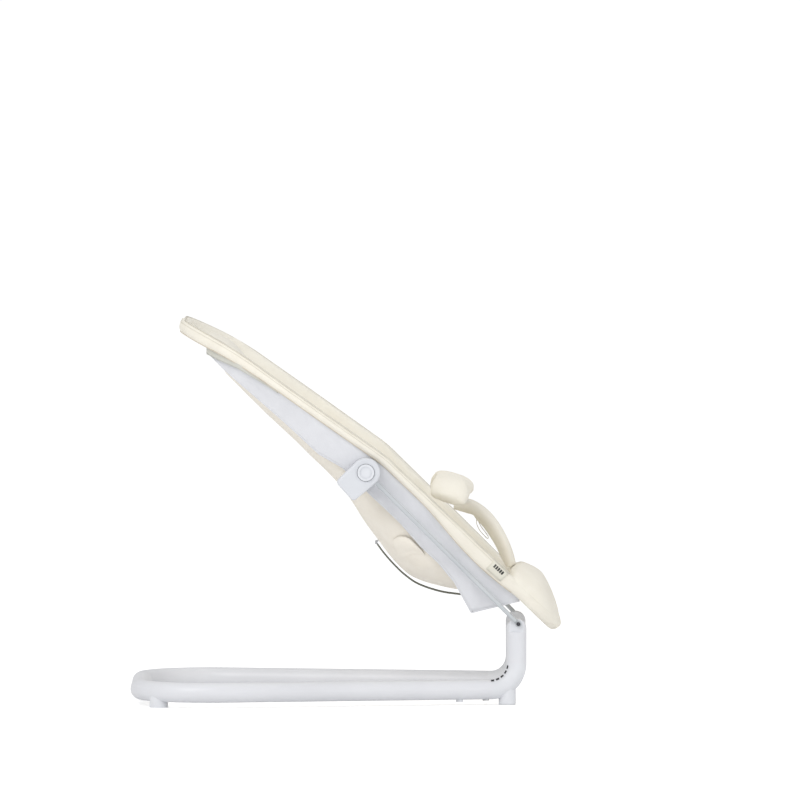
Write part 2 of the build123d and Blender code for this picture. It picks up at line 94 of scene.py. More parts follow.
# A side panel's lower edge: x, z, and how far it leans in from the rim
PANEL_EDGE = [
    (-190, 493, 4),
    (-170, 473, 8),
    (-123, 433, 13),
    (-85, 400, 13),
    (-36, 355, 11),
    (-3, 336, 7),
    (36, 298, 0),
    (52, 283, 1),
    (77, 258, 14),
    (105, 225, 20),
    (130, 201, 24),
    (152, 174, 26),
    (176, 130, 28),
    (210, 138, 22),
    (243, 146, 6),
]


def rim_z(x):
    """Height of the rim's centreline at x."""
    if x > KNEE[0]:
        return KNEE[1] - LEG_SLOPE * (x - KNEE[0])
    if x > SHOULDER_X:
        return KNEE[1] + BACK_SLOPE * (KNEE[0] - x)
    return rim_z(SHOULDER_X + 1e-6) + HEAD_SLOPE * (SHOULDER_X - x)


def between(table, x, column):
    """Straight-line reading of a table's column at x."""
    rows = sorted(table)
    if x <= rows[0][0]:
        return rows[0][column]
    for low, high in zip(rows, rows[1:]):
        if x <= high[0]:
            share = (x - low[0]) / (high[0] - low[0])
            return low[column] + share * (high[column] - low[column])
    return rows[-1][column]


def smooth_between(table, x, column, reach=14):
    """The same reading, averaged over a stretch, so that its corners are round."""
    steps = (-1, -0.5, 0, 0.5, 1)
    return sum(between(table, x + s * reach, column) for s in steps) / len(steps)


def half_width(x):
    """How far the rim lies from the centre plane at x, read between its corners."""
    return between(RIM_CORNERS, x, 1)


def smoothstep(low, high, x):
    """0 below low, 1 above high, and a smooth rise between them."""
    t = min(1.0, max(0.0, (x - low) / (high - low)))
    return t * t * (3 - 2 * t)


def noise_at(point, scale, seed):
    """A smooth number from about -1 to 1 for a point in millimetres."""
    return noise.noise(Vector(point) / scale + Vector((seed * 7.3, seed * 1.9, seed * 3.1)))


# ---- materials ----


def node_material(name, roughness, metallic=0.0):
    """A new material, its node tree and its shader."""
    material = bpy.data.materials.new(name)
    material.use_nodes = True
    shader = material.node_tree.nodes["Principled BSDF"]
    shader.inputs["Roughness"].default_value = roughness
    shader.inputs["Metallic"].default_value = metallic
    return material, material.node_tree, shader


def texture(tree, kind, scale, **inputs):
    """A texture node on object coordinates, at a scale in cells to the metre."""
    coords = tree.nodes.new("ShaderNodeTexCoord")
    node = tree.nodes.new(kind)
    tree.links.new(coords.outputs["Object"], node.inputs["Vector"])
    node.inputs["Scale"].default_value = scale
    for key, value in inputs.items():
        node.inputs[key].default_value = value
    return node


def ramp(tree, source, low, high, start=0.35, end=0.65):
    """A colour that runs from low to high with a texture's value."""
    node = tree.nodes.new("ShaderNodeValToRGB")
    node.color_ramp.elements[0].position = start
    node.color_ramp.elements[1].position = end
    node.color_ramp.elements[0].color = (*low, 1)
    node.color_ramp.elements[1].color = (*high, 1)
    tree.links.new(source, node.inputs["Fac"])
    return node


def bump(tree, source, distance, strength, before=None):
    """Relief of a height in millimetres, added to an earlier relief."""
    node = tree.nodes.new("ShaderNodeBump")
    node.inputs["Distance"].default_value = distance * MM
    node.inputs["Strength"].default_value = strength
    tree.links.new(source, node.inputs["Height"])
    if before is not None:
        tree.links.new(before.outputs["Normal"], node.inputs["Normal"])
    return node


def fabric(name, low, high, thread=900.0, weave=0.35, sheen=0.06, roughness=0.85):
    """Soft cloth: mottled dye, a fine crosswise weave, and a slight nap."""
    material, tree, shader = node_material(name, roughness)
    mottle = texture(tree, "ShaderNodeTexNoise", 35.0, Detail=6.0, Roughness=0.6)
    colour = ramp(tree, mottle.outputs["Fac"], low, high)
    tree.links.new(colour.outputs["Color"], shader.inputs["Base Color"])
    warp = texture(tree, "ShaderNodeTexWave", thread, Distortion=1.5)
    warp.bands_direction = "X"
    weft = texture(tree, "ShaderNodeTexWave", thread, Distortion=1.5)
    weft.bands_direction = "Z"
    threads = tree.nodes.new("ShaderNodeMath")
    threads.operation = "MULTIPLY"
    tree.links.new(warp.outputs["Fac"], threads.inputs[0])
    tree.links.new(weft.outputs["Fac"], threads.inputs[1])
    nap = texture(tree, "ShaderNodeTexNoise", 260.0, Detail=4.0)
    soft = bump(tree, nap.outputs["Fac"], 0.6, 0.25)
    fine = bump(tree, threads.outputs["Value"], 0.25, weave, soft)
    tree.links.new(fine.outputs["Normal"], shader.inputs["Normal"])
    shader.inputs["Sheen Weight"].default_value = sheen
    shader.inputs["Sheen Roughness"].default_value = 0.5
    return material


def webbing_material(name, low, high, ribs=700.0):
    """Narrow woven tape with close ribs."""
    material, tree, shader = node_material(name, 0.75)
    rib = texture(tree, "ShaderNodeTexWave", ribs, Distortion=0.4)
    rib.bands_direction = "DIAGONAL"
    colour = ramp(tree, rib.outputs["Fac"], low, high, 0.2, 0.8)
    tree.links.new(colour.outputs["Color"], shader.inputs["Base Color"])
    ribbed = bump(tree, rib.outputs["Fac"], 0.4, 0.5)
    tree.links.new(ribbed.outputs["Normal"], shader.inputs["Normal"])
    shader.inputs["Sheen Weight"].default_value = 0.15
    return material


def coated_metal(name, low, high):
    """Powder coat: even colour, faint orange peel, soft gloss."""
    material, tree, shader = node_material(name, 0.38)
    drift = texture(tree, "ShaderNodeTexNoise", 9.0, Detail=3.0)
    colour = ramp(tree, drift.outputs["Fac"], low, high)
    tree.links.new(colour.outputs["Color"], shader.inputs["Base Color"])
    peel = texture(tree, "ShaderNodeTexNoise", 900.0, Detail=2.0)
    skin = bump(tree, peel.outputs["Fac"], 0.12, 0.2)
    tree.links.new(skin.outputs["Normal"], shader.inputs["Normal"])
    return material


def moulded_plastic(name, low, high, roughness=0.5):
    """Injection-moulded plastic with a fine spark-eroded grain."""
    material, tree, shader = node_material(name, roughness)
    drift = texture(tree, "ShaderNodeTexNoise", 18.0, Detail=4.0)
    colour = ramp(tree, drift.outputs["Fac"], low, high)
    tree.links.new(colour.outputs["Color"], shader.inputs["Base Color"])
    grain = texture(tree, "ShaderNodeTexVoronoi", 1600.0)
    skin = bump(tree, grain.outputs["Distance"], 0.1, 0.25)
    tree.links.new(skin.outputs["Normal"], shader.inputs["Normal"])
    return material


def drawn_steel(name, low, high, roughness=0.28):
    """Drawn and polished wire with fine lengthwise marks."""
    material, tree, shader = node_material(name, roughness, 1.0)
    scratch = texture(tree, "ShaderNodeTexNoise", 500.0, Detail=8.0, Roughness=0.7)
    colour = ramp(tree, scratch.outputs["Fac"], low, high)
    tree.links.new(colour.outputs["Color"], shader.inputs["Base Color"])
    marks = bump(tree, scratch.outputs["Fac"], 0.05, 0.15)
    tree.links.new(marks.outputs["Normal"], shader.inputs["Normal"])
    return material


CREAM = fabric("cream_jersey", (0.84, 0.80, 0.705), (0.87, 0.835, 0.745))
CREAM_INSIDE = fabric("cream_liner", (0.84, 0.805, 0.715), (0.87, 0.84, 0.755), thread=700.0)
# A lighter copy of the cream: painted light, standing in for light bounced up onto the underside.
CREAM_UNDER_PAINTED_LIGHT = fabric("cream_underside_painted_light", (0.87, 0.82, 0.73), (0.91, 0.865, 0.78), thread=500.0)
# The piping's dark colour is painted shade: the shadow gap along the rim's upper edge.
PIPING_PAINTED_SHADE = fabric("piping_painted_shade", (0.62, 0.59, 0.52), (0.69, 0.66, 0.58), thread=1400.0)
SEAM = fabric("seam_tape", (0.60, 0.54, 0.45), (0.68, 0.62, 0.53), thread=1400.0)
PANEL = fabric("grey_panel", (0.70, 0.71, 0.745), (0.735, 0.745, 0.78), thread=1200.0)
# A binding tape, darkened with painted shade from the rim's overhang.
BINDING_PAINTED_SHADE = fabric("binding_painted_shade", (0.58, 0.58, 0.53), (0.64, 0.64, 0.59), thread=1200.0)
STITCH = fabric("stitch_thread", (0.66, 0.63, 0.54), (0.74, 0.71, 0.62), thread=2500.0)
WEBBING = webbing_material("cream_webbing", (0.70, 0.68, 0.59), (0.80, 0.78, 0.68))
DARK_WEBBING = webbing_material("dark_webbing", (0.16, 0.17, 0.14), (0.28, 0.29, 0.25))
TAG = fabric("woven_tag", (0.74, 0.72, 0.63), (0.80, 0.78, 0.69), thread=2200.0)
TAG_BAR = fabric("tag_bar", (0.04, 0.04, 0.04), (0.10, 0.10, 0.09), thread=2200.0)
WHITE_TUBE = coated_metal("white_powder_coat", (0.70, 0.71, 0.745), (0.74, 0.75, 0.785))
WHITE_PLASTIC = moulded_plastic("white_moulding", (0.71, 0.725, 0.76), (0.75, 0.765, 0.80))
HUB_PLASTIC = moulded_plastic("hub_moulding", (0.63, 0.65, 0.69), (0.67, 0.69, 0.73), 0.42)
BUTTON_PLASTIC = moulded_plastic("button_moulding", (0.68, 0.70, 0.74), (0.73, 0.75, 0.79), 0.3)
GREY_PLASTIC = moulded_plastic("grey_moulding", (0.42, 0.43, 0.45), (0.5, 0.51, 0.53))
RUBBER = moulded_plastic("foot_rubber", (0.62, 0.63, 0.65), (0.7, 0.71, 0.73), 0.8)
MARK = moulded_plastic("dash_marks", (0.02, 0.02, 0.025), (0.05, 0.05, 0.055), 0.6)
ROD = coated_metal("rod_coat", (0.52, 0.55, 0.575), (0.58, 0.61, 0.63))
STEEL = drawn_steel("bright_steel", (0.42, 0.43, 0.45), (0.62, 0.63, 0.65))
DARK_STEEL = drawn_steel("dark_screw", (0.06, 0.06, 0.07), (0.14, 0.14, 0.15), 0.45)


def dress_frame():
    """Gives each CAD node that stays in view its own finish."""
    finishes = {
        "base_tube": WHITE_TUBE,
        "post": WHITE_TUBE,
        "elbow": WHITE_PLASTIC,
        "elbow_marks": MARK,
        "post_cap": WHITE_PLASTIC,
        "rear_foot": WHITE_PLASTIC,
        "front_foot_pads": RUBBER,
        "tube_plugs": WHITE_PLASTIC,
        "tube_screws": STEEL,
        "pivot_screws": DARK_STEEL,
        "spring_rod": ROD,
        "hub_housing": HUB_PLASTIC,
        "hub_back_plate": HUB_PLASTIC,
        "hub_screws": STEEL,
        "hub_bolts": STEEL,
        "hub_nuts": STEEL,
        "lock_spring": STEEL,
        "lock_ring": GREY_PLASTIC,
        "recline_button": BUTTON_PLASTIC,
        "seat_hub": GREY_PLASTIC,
        "back_hoop": WHITE_TUBE,
        "leg_hoop": WHITE_TUBE,
        "buckle_body": BUTTON_PLASTIC,
        "buckle_button": GREY_PLASTIC,
        "buckle_tongue": BUTTON_PLASTIC,
        "strap_hook": STEEL,
    }
    for node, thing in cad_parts.items():
        family = node.removesuffix("_left").removesuffix("_right")
        if family in finishes:
            thing.data.materials.clear()
            thing.data.materials.append(finishes[family])


# ---- mesh helpers ----


def make_mesh(name, vertices, faces, material):
    """A mesh object from points in millimetres."""
    mesh = bpy.data.meshes.new(name)
    mesh.from_pydata([tuple(c * MM for c in v) for v in vertices], [], faces)
    mesh.materials.append(material)
    thing = bpy.data.objects.new(name, mesh)
    bpy.context.scene.collection.objects.link(thing)
    tidy_mesh(mesh)
    for polygon in mesh.polygons:
        polygon.use_smooth = True
    return thing


def tidy_mesh(mesh):
    """Welds doubled points and turns the faces outward."""
    work = bmesh.new()
    work.from_mesh(mesh)
    bmesh.ops.remove_doubles(work, verts=work.verts, dist=0.02 * MM)
    bmesh.ops.dissolve_degenerate(work, edges=work.edges, dist=0.005 * MM)
    bmesh.ops.recalc_face_normals(work, faces=work.faces)
    work.to_mesh(mesh)
    work.free()


def grid_faces(rows, columns, close_rows=False, close_columns=False):
    """Four-sided faces over a grid of points, which may close on itself either way."""
    faces = []
    for i in range(rows if close_rows else rows - 1):
        for j in range(columns if close_columns else columns - 1):
            k = (i + 1) % rows
            m = (j + 1) % columns
            faces.append((i * columns + j, i * columns + m, k * columns + m, k * columns + j))
    return faces


def capped_sweep(name, rings, material, closed=False):
    """A solid through rings of points; its ends are capped unless it closes on itself."""
    columns = len(rings[0])
    vertices = [p for ring in rings for p in ring]
    faces = grid_faces(len(rings), columns, close_rows=closed, close_columns=True)
    if not closed:
        faces.append(tuple(range(columns)))
        faces.append(tuple((len(rings) - 1) * columns + j for j in range(columns)))
    return make_mesh(name, vertices, faces, material)


def apply_modifiers(thing):
    """Keeps the shape that the modifiers give, and drops the modifiers."""
    shown = thing.evaluated_get(bpy.context.evaluated_depsgraph_get())
    mesh = bpy.data.meshes.new_from_object(shown)
    thing.modifiers.clear()
    thing.data = mesh
    for polygon in mesh.polygons:
        polygon.use_smooth = True


def thicken(thing, thick, offset):
    """Gives an open skin a thickness in millimetres."""
    modifier = thing.modifiers.new("thick", "SOLIDIFY")
    modifier.thickness = thick * MM
    modifier.offset = offset
    apply_modifiers(thing)


def subdivide(thing):
    """Rounds a mesh by splitting every face once."""
    modifier = thing.modifiers.new("smooth", "SUBSURF")
    modifier.levels = 1
    modifier.render_levels = 1
    apply_modifiers(thing)


def inflate(thing, voxel=5.0, pressure=4.0, cap=8.0, frames=20):
    """Swells a closed pad with a short cloth simulation, each point moving no further than cap."""
    remesh = thing.modifiers.new("remesh", "REMESH")
    remesh.mode = "VOXEL"
    remesh.voxel_size = voxel * MM
    apply_modifiers(thing)
    start = [v.co.copy() for v in thing.data.vertices]
    cloth = thing.modifiers.new("cloth", "CLOTH")
    settings = cloth.settings
    settings.quality = 5
    settings.mass = 0.2
    settings.tension_stiffness = 18
    settings.compression_stiffness = 12
    settings.bending_stiffness = 0.4
    settings.use_pressure = True
    settings.uniform_pressure_force = pressure
    settings.effector_weights.gravity = 0
    cloth.point_cache.frame_start = 1
    cloth.point_cache.frame_end = frames
    scene = bpy.context.scene
    for step in range(1, frames + 1):
        scene.frame_set(step)
    apply_modifiers(thing)
    for vertex, was in zip(thing.data.vertices, start):
        move = vertex.co - was
        if move.length > cap * MM:
            vertex.co = was + move.normalized() * cap * MM
    scene.frame_set(1)
    subdivide(thing)


# ---- the rim's path ----


def rounded_loop(corners, step=7.0):
    """Points along a closed loop of corners (point, radius), with each corner an arc."""
    points = []
    count = len(corners)
    for i, (corner, radius) in enumerate(corners):
        before = (corners[i - 1][0] - corner).normalized()
        after = (corners[(i + 1) % count][0] - corner).normalized()
        turn = math.pi - before.angle(after)
        reach = radius * math.tan(turn / 2)
        start = corner + before * reach
        centre = corner + (before + after).normalized() * (radius / math.cos(turn / 2))
        axis = (start - centre).cross(corner + after * reach - centre).normalized()
        pieces = max(3, int(radius * turn / step))
        for j in range(pieces + 1):
            spin = Matrix.Rotation(turn * j / pieces, 3, axis)
            points.append(centre + spin @ (start - centre))
    loop = []
    for a, b in zip(points, points[1:] + points[:1]):
        pieces = max(1, round((b - a).length / step))
        loop.extend(a.lerp(b, j / pieces) for j in range(pieces))
    return loop


def rim_loop():
    """The rim's centreline, all the way round."""
    right = [(Vector((x, -y, rim_z(x))), r) for x, y, r in RIM_CORNERS]
    left = [(Vector((p.x, -p.y, p.z)), r) for p, r in reversed(right)]
    return rounded_loop(right + left)


RIM = rim_loop()


def seat_normal(x):
    """Upward normal of the rim's plane at x, blended across the bends."""
    slopes = [rim_slope(x + s * 12) for s in (-1, -0.5, 0, 0.5, 1)]
    slope = sum(slopes) / len(slopes)
    return Vector((slope, 0, 1)).normalized()


def rim_slope(x):
    """The rim's slope at x."""
    if x > KNEE[0]:
        return LEG_SLOPE
    return BACK_SLOPE if x > SHOULDER_X else HEAD_SLOPE


def loop_frames(loop):
    """For each point of a closed loop round the seat: (point, outward, upward)."""
    frames = []
    for i, point in enumerate(loop):
        along = (loop[(i + 1) % len(loop)] - loop[i - 1]).normalized()
        up = seat_normal(point.x)
        out = along.cross(up).normalized()
        if out.dot(Vector((point.x - RIM_MIDDLE_X, point.y, 0))) < 0:
            out = -out
        lift = along.cross(out).normalized()
        frames.append((point, out, lift if lift.dot(up) > 0 else -lift))
    return frames


RIM_FRAMES = loop_frames(RIM)


def rim_swell(x):
    """How far the padded rim stands out sideways."""
    head = 2.2 * (1 - smoothstep(-215, -120, x))
    return 6.8 + head + 1.7 * smoothstep(230, 290, x)


def on_rim(frame_point, turn, lift=0.0):
    """A point on the padded rim's skin, at an angle up from its outermost line."""
    point, out, up = frame_point
    rise = smooth_between(RIM_THICK, point.x, 1 if turn % math.tau < math.pi else 2, 8)
    across = math.cos(turn) * (rim_swell(point.x) + lift)
    return point + out * across + up * math.sin(turn) * (rise + lift)


def rim_cover():
    """The padded fabric casing around both hoops."""
    rings = []
    for place in RIM_FRAMES:
        ring = []
        for j in range(24):
            turn = math.tau * j / 24
            skin = on_rim(place, turn)
            ring.append(on_rim(place, turn, 0.3 * noise_at(skin, 20, 3)))
        rings.append(ring)
    piece = capped_sweep("rim_cover", rings, CREAM, closed=True)
    subdivide(piece)
    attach(piece, "seat")
    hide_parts("back_rim_band", "leg_rim_band")
    return piece


def rim_patch(name, x_low, x_high, turns, lift, thick, material, columns=10):
    """A thin piece of cloth sewn on the rim's outer face on the right side."""
    near = [f for f in RIM_FRAMES if f[0].y < 0 and x_low - 8 < f[0].x < x_high + 8]
    near.sort(key=lambda f: f[0].x)

    def along(x):
        for a, b in zip(near, near[1:]):
            if a[0].x <= x <= b[0].x:
                t = (x - a[0].x) / (b[0].x - a[0].x)
                return tuple(u.lerp(v, t) for u, v in zip(a, b))
        return near[-1]

    rows = []
    for side in (0, thick):
        for i in range(columns + 1):
            place = along(x_low + (x_high - x_low) * i / columns)
            row = []
            for j in range(7):
                turn = math.radians(turns[0] + (turns[1] - turns[0]) * j / 6)
                row.append(on_rim(place, turn, lift + side))
            rows.append(row)
    piece = pillow_grid(name, list(zip(rows[: columns + 1], rows[columns + 1 :])), material)
    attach(piece, "seat")
    return piece


def cord_along(name, points, radius, material, closed=True, sides=8):
    """A thin round welt or thread along points."""
    rings = []
    count = len(points)
    for i, point in enumerate(points):
        ahead = points[(i + 1) % count] if closed else points[min(i + 1, count - 1)]
        behind = points[i - 1] if closed else points[max(i - 1, 0)]
        along = (ahead - behind).normalized()
        side = along.cross(Vector((0, 0, 1)))
        side = side.normalized() if side.length > 1e-3 else Vector((0, 1, 0))
        up = side.cross(along).normalized()
        turns = [math.tau * j / sides for j in range(sides)]
        rings.append([point + (side * math.cos(t) + up * math.sin(t)) * radius for t in turns])
    return capped_sweep(name, rings, material, closed=closed)


def rim_seams():
    """The welt on the rim's upper edge, the seam under it, and a row of stitches; the welt's dark
    colour is painted shade, the shadow gap between the rim's top and the liner.
    """
    lines = (
        ("rim_welt_painted_shade", 62, 0.5, 1.2, PIPING_PAINTED_SHADE, 228),
        ("rim_lower_seam", -68, 0.3, 0.7, SEAM, 243),
        ("rim_stitching", 22, 0.1, 0.35, STITCH, 226),
    )
    for name, angle, lift, radius, material, reach in lines:
        line = [on_rim(f, math.radians(angle), lift) for f in RIM_FRAMES if f[0].x < reach]
        piece = cord_along(name, line, radius, material, closed=False)
        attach(piece, "seat")


# ---- the seat's trough ----

SPINE = (-165, 240)
COVER_GAP = 14.0
WALL = 0.86


def trough_depth(x, lift):
    """How far the trough's surface lies below the rim's plane on the centre line."""
    return max(3.0, rim_z(x) - smooth_between(SLING_LINE, x, 1) - lift)


def wall_share(x, wall):
    """Where the wall stands between the spine (0) and the rim (1), further in at the hubs."""
    return wall - 0.055 * (1 - smoothstep(22, 75, abs(x - HUB[0])))


def trough_point(rim_point, share, lift, wall, power):
    """A point of the trough, share of the way from the rim (0) to the spine (1)."""
    spine_x = min(max(rim_point.x, SPINE[0]), SPINE[1])
    spine = Vector((spine_x, 0, 0))
    edge = Vector((rim_point.x, rim_point.y, 0))
    flat = edge.lerp(spine, share)
    across = min(1.0, (1 - share) / wall_share(flat.x, wall))
    drop = (1 - across**power) ** (1 / power)
    end = abs(rim_point.x - spine_x) / 60
    depth = trough_depth(flat.x, lift) * (1 - min(1.0, end) * 0.25)
    return Vector((flat.x, flat.y, rim_z(flat.x) - depth * drop))


def end_share(rim_point):
    """1 at the head and foot bars, 0 along the sides."""
    spine_x = min(max(rim_point.x, SPINE[0]), SPINE[1])
    return min(1.0, abs(rim_point.x - spine_x) / 45)


def quilting(x, y, share):
    """The height of the stuffing between the sewn channels that cross the liner."""
    pitch = 62.0
    along = abs(math.sin(math.pi * (x - y * y / 900) / pitch))
    inside = smoothstep(0.24, 0.5, share)
    return 3.6 * inside * (along**0.45 - 0.6)


def seat_liner():
    """The quilted inner cover: over the rim, down the walls and across the floor."""
    rings = []
    for place in RIM_FRAMES:
        point = place[0]
        top = smooth_between(RIM_THICK, point.x, 1, 8)
        power = 3.0 - 1.2 * end_share(point)
        ring = [on_rim(place, math.radians(74), -0.6), on_rim(place, math.radians(97), 0.3)]
        for j in range(40):
            share = 0.05 + 0.95 * j / 39
            spot = trough_point(point, share, COVER_GAP, WALL, power)
            wall = wall_share(spot.x, WALL)
            flange = smoothstep(wall - 0.01, wall + 0.02, 1 - share)
            crown = 1.1 - 0.35 * (1 - smoothstep(-224, -196, spot.x))
            spot.z += (top + 0.6) * crown * flange
            spot.z += quilting(spot.x, spot.y, share)
            spot.z += 1.2 * noise_at(spot, 40, 5) * smoothstep(0.2, 0.4, share)
            ring.append(spot)
        rings.append(ring)
    faces = grid_faces(len(rings), len(rings[0]), close_rows=True)
    piece = make_mesh("seat_liner_pad", [p for ring in rings for p in ring], faces, CREAM_INSIDE)
    thicken(piece, 5, -1)
    subdivide(piece)
    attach(piece, "seat")
    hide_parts("seat_liner")
    return piece


def sling_crease(spot):
    """How far the sling's cloth stands out in the two soft creases under the hips."""
    swell = 0.0
    for x_low, x_high, z_low, z_high in ((78, 132, 186, 199), (66, 104, 206, 217)):
        share = (spot.x - x_low) / (x_high - x_low)
        if 0 < share < 1:
            off = spot.z - z_low - (z_high - z_low) * share
            swell += 2.6 * math.sin(math.pi * share) * math.exp(-((off / 4) ** 2))
    return swell


def seat_sling():
    """The plain trough of strong cloth that carries the liner."""
    rings = []
    for place in RIM_FRAMES:
        point = place[0]
        power = 3.0 - 1.0 * end_share(point)
        ring = []
        for j in range(30):
            share = 0.05 + 0.95 * j / 29
            spot = trough_point(point, share, 0.0, WALL + 0.03, power)
            fold = smoothstep(0.15, 0.35, share) * (1 - smoothstep(0.75, 0.95, share))
            spot.z += 1.6 * fold * noise_at((spot.x * 0.4, spot.y * 1.4, spot.z), 30, 9)
            spot.y += math.copysign(sling_crease(spot), spot.y) * smoothstep(30, 60, abs(spot.y))
            ring.append(spot)
        rings.append(ring)
    faces = grid_faces(len(rings), len(rings[0]), close_rows=True)
    piece = make_mesh("seat_sling_cloth", [p for ring in rings for p in ring], faces, CREAM_UNDER_PAINTED_LIGHT)
    thicken(piece, 2, 1)
    subdivide(piece)
    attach(piece, "seat")
    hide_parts("seat_sling")
    return piece


def sling_side(x, z):
    """How far from the centre plane the sling's skin lies at x and z."""
    deep = min(1.0, max(0.0, (rim_z(x) - z) / trough_depth(x, 0.0)))
    return half_width(x) * wall_share(x, WALL + 0.03) * (1 - deep**3) ** (1 / 3)


def sling_flap(side):
    """A loose fold of the sling's cloth that shows below the panel beside the hips."""
    sign = SIDES[side]
    top_knots = [(66, 0, 233), (77, 0, 238), (90, 0, 235), (107, 0, 218)]
    low_knots = [(73, 0, 206), (84, 0, 208), (96, 0, 213), (112, 0, 211)]
    top = curve_points([Vector(knot) for knot in top_knots], 25)
    low = curve_points([Vector(knot) for knot in low_knots], 25)
    rows = []
    for i in range(25):
        row = []
        for j in range(13):
            share = j / 12
            spot = top[i].lerp(low[i], share)
            swell = math.sin(math.pi * min(1, share * 1.15 + 0.12)) * math.sin(math.pi * (i + 2) / 28)
            y = sling_side(spot.x, spot.z) + 0.8 + 5.5 * max(0.0, swell) ** 0.8
            row.append(Vector((spot.x, sign * min(y, half_width(spot.x) - 3), spot.z)))
        rows.append(row)
    faces = grid_faces(len(rows), 13)
    piece = make_mesh(f"sling_flap_{side}", [p for row in rows for p in row], faces, CREAM_UNDER_PAINTED_LIGHT)
    thicken(piece, 1.6, 0)
    subdivide(piece)
    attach(piece, "seat")
    return piece


# ---- side panels ----

HUB_HOLE = 14.5


def panel_point(x, share, sign):
    """A point of a side panel, from its upper edge (0) to its lower one (1)."""
    lean = smooth_between(PANEL_EDGE, x, 2)
    width = smooth_between(RIM_CORNERS, x, 1, 6)
    top = Vector((x, width - 1.0, rim_z(x) - 5.0))
    low = Vector((x, width - 2.5 - lean, between(PANEL_EDGE, x, 1)))
    spot = top.lerp(low, share)
    spot.y -= 2.0 * math.sin(math.pi * share) * smoothstep(60, 110, abs(x - HUB[0]))
    spot.y += 0.8 * noise_at((x, 0, spot.z), 38, 11 + sign) * math.sin(math.pi * share)
    return Vector((spot.x, sign * spot.y, spot.z))


def side_panel(side):
    """The smooth fabric wall outside the trough, with a hem and a faced hole at the hub."""
    sign = SIDES[side]
    start, end = PANEL_EDGE[0][0], PANEL_EDGE[-1][0]
    stations = [start + (end - start) * i / 110 for i in range(111)]
    rows = [[panel_point(x, j / 12, sign) for j in range(13)] for x in stations]
    vertices = [p for row in rows for p in row]
    for point in vertices:
        away = math.hypot(point.x - HUB[0], point.z - HUB[1])
        if 0 < away < HUB_HOLE:
            point.x = HUB[0] + (point.x - HUB[0]) * HUB_HOLE / away
            point.z = HUB[1] + (point.z - HUB[1]) * HUB_HOLE / away
    keep = []
    for face in grid_faces(len(rows), 13):
        centre = sum((vertices[i] for i in face), Vector()) / len(face)
        if math.hypot(centre.x - HUB[0], centre.z - HUB[1]) > HUB_HOLE:
            keep.append(face)
    piece = make_mesh(f"side_panel_{side}_cloth", vertices, keep, PANEL)
    thicken(piece, 1.6, 0)
    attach(piece, "seat")
    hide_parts(f"side_panel_{side}")
    hem = cord_along(f"panel_hem_{side}", [row[-1] for row in rows], 1.2, PANEL, closed=False)
    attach(hem, "seat")
    return piece


def shaded_panel_binding(side):
    """The strip of tape that joins the panel's head end to the rim; its darker colour is painted shade,
    cast by the rim's overhang.
    """
    sign = SIDES[side]
    rows = []
    for i in range(31):
        x = -193 + 100 * i / 30
        depth = 15 - 9 * smoothstep(0, 1, i / 30)
        row = []
        for j in range(5):
            spot = panel_point(max(x, PANEL_EDGE[0][0]), 0, sign)
            row.append(Vector((x, spot.y + sign * 1.6, rim_z(x) - 5 - depth * j / 4)))
        rows.append(row)
    piece = make_mesh(f"shaded_panel_binding_{side}", [p for r in rows for p in r], grid_faces(31, 5), BINDING_PAINTED_SHADE)
    thicken(piece, 1.0, 0)
    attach(piece, "seat")


# ---- pads ----


def pillow_grid(name, rows, material):
    """A closed pad from rows of (under, over) point lists."""
    columns = len(rows[0][0])
    under = [p for low, high in rows for p in low]
    over = [p for low, high in rows for p in high]
    offset = len(under)
    faces = grid_faces(len(rows), columns)
    faces += [tuple(i + offset for i in reversed(f)) for f in grid_faces(len(rows), columns)]
    last = (len(rows) - 1) * columns
    for j in range(columns - 1):
        faces.append((j, j + 1, offset + j + 1, offset + j))
        faces.append((last + j, offset + last + j, offset + last + j + 1, last + j + 1))
    for i in range(len(rows) - 1):
        a, b = i * columns, (i + 1) * columns
        faces.append((a, offset + a, offset + b, b))
        a, b = a + columns - 1, b + columns - 1
        faces.append((a, b, offset + b, offset + a))
    return make_mesh(name, under + over, faces, material)


def head_pad():
    """The crowned pillow sewn across the head end."""
    rows = []
    for i in range(17):
        share = i / 16
        swing = math.sqrt(max(0.0, 1 - (2 * share - 1) ** 2))
        x = -200 + 74 * share
        half = 58 + 34 * swing + 12 * share
        base = rim_z(x) - 8 - 18 * smoothstep(0.4, 1, share)
        floor = rim_z(x) - trough_depth(x, COVER_GAP)
        low = []
        high = []
        for j in range(21):
            t = -1 + 2 * j / 20
            arch = (1 - abs(t) ** 3) ** 0.5 if abs(t) < 1 else 0.0
            low.append(Vector((x, half * t, min(base - 2, floor + 2))))
            high.append(Vector((x, half * t, base + 4 + 8 * arch * (0.3 + 0.7 * swing))))
        rows.append((low, high))
    piece = pillow_grid("head_pillow", rows, CREAM_INSIDE)
    inflate(piece, voxel=4.0, cap=5)
    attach(piece, "seat")
    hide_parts("head_pad")
    return piece


# The crown of the foot pad on the centre plane: x, z
FOOT_CROWN = [
    (228, 188),
    (234, 195),
    (240, 195.5),
    (258, 188.5),
    (273, 180.5),
    (282.5, 164),
    (291.9, 141.5),
    (297.5, 122),
    (299.6, 111),
]


def rim_reach(x):
    """How far from the centre plane the padded rim's outer face lies at x."""
    faces = [on_rim(f, 0) for f in RIM_FRAMES if f[0].y < 0 and f[0].x > 200]
    faces.sort(key=lambda p: p.x)
    for a, b in zip(faces, faces[1:]):
        if a.x <= x <= b.x and b.x > a.x:
            return -(a.y + (b.y - a.y) * (x - a.x) / (b.x - a.x))
    return 40.0


